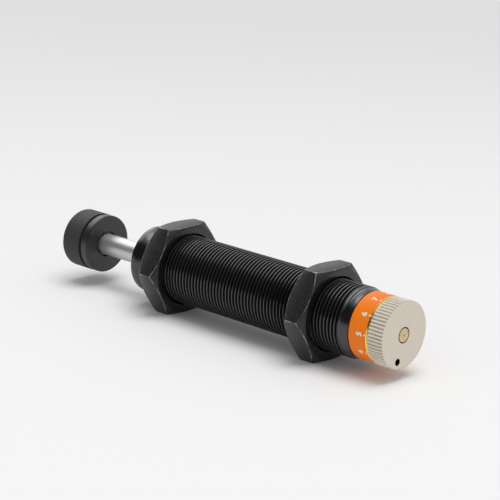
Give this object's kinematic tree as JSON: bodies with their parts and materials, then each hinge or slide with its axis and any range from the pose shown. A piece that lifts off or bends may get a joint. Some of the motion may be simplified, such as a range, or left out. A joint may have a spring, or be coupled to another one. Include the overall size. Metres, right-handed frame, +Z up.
{
  "type": "industrial shock absorber",
  "caption": "Adjustable hydraulic shock absorber: threaded round body, two hexagonal lock nuts, sprung rod with a round bumper, and a dial knob at the rear.",
  "frame": {"origin": "centre of the barrel's front face, on the axis of the rod", "axes": "+X along the rod towards the bumper, +Z up out of the nuts' top flats, +Y towards the side that shows the dial's middle numbers"},
  "size_m": [0.1563, 0.037, 0.032],
  "materials": {
    "barrel_black": "black oxide, satin",
    "nut_black": "black oxide, satin, edges worn lighter",
    "rod_chrome": "ground and hard chromed",
    "knob_nickel": "nickel plated, matt face, knurled rim",
    "ring_orange": "orange anodised, printed white numbers",
    "brass": "turned brass",
    "bumper_black": "black, satin",
    "urethane_grey": "matt dark urethane",
    "steel": "turned steel, oiled",
    "spring_steel": "spring steel",
    "bronze": "sintered bronze",
    "nitrile": "black nitrile",
    "white_plastic": "filled fluoroplastic",
    "foam": "closed cell foam"
  },
  "bodies": {
    "barrel": {"outer_barrel": "barrel_black", "rear_plug": "steel", "plug_o_ring": "nitrile", "scale_ring": "ring_orange", "knob_washer": "brass", "sleeve_washer": "white_plastic", "pressure_tube": "steel", "return_spring": "spring_steel", "gland": "steel", "gland_o_ring": "nitrile", "rod_bushing": "bronze", "rod_seal": "nitrile", "rod_wiper": "nitrile", "accumulator_foam": "foam", "cover_washer": "steel", "snap_ring": "spring_steel"},
    "adjuster": {"adjusting_knob": "knob_nickel", "knob_lock_screw": "nut_black", "adjuster_stem": "brass", "stem_o_ring": "nitrile", "metering_sleeve": "steel", "drive_pin": "steel"},
    "rod": {"piston_rod": "rod_chrome", "piston": "steel", "piston_ring": "white_plastic", "spring_seat": "steel", "piston_nut": "steel", "bumper_core": "bumper_black", "bumper_cap": "urethane_grey"},
    "check_valve": {"check_plate": "steel"},
    "front_nut": {"front_lock_nut": "nut_black"},
    "rear_nut": {"rear_lock_nut": "nut_black"}
  },
  "joints": [
    {"name": "rod_slide", "type": "slide", "parent": "barrel", "child": "rod", "axis": [-1, 0, 0], "range_m": [0, 0.025], "stiffness_N_per_m": 700, "springref_m": -0.0143, "deforming": ["return_spring"]},
    {"name": "adjuster_turn", "type": "hinge", "parent": "barrel", "child": "adjuster", "pos_m": [0, 0, 0], "axis": [1, 0, 0], "range_deg": [-90, 210]},
    {"name": "front_nut_travel", "type": "slide", "parent": "barrel", "child": "front_nut", "axis": [1, 0, 0], "range_m": [-0.03, 0.0075]},
    {"name": "rear_nut_travel", "type": "slide", "parent": "barrel", "child": "rear_nut", "axis": [1, 0, 0], "range_m": [-0.0102, 0.03]},
    {"name": "check_plate_lift", "type": "slide", "parent": "rod", "child": "check_valve", "axis": [-1, 0, 0], "range_m": [0, 0.0004]}
  ]
}
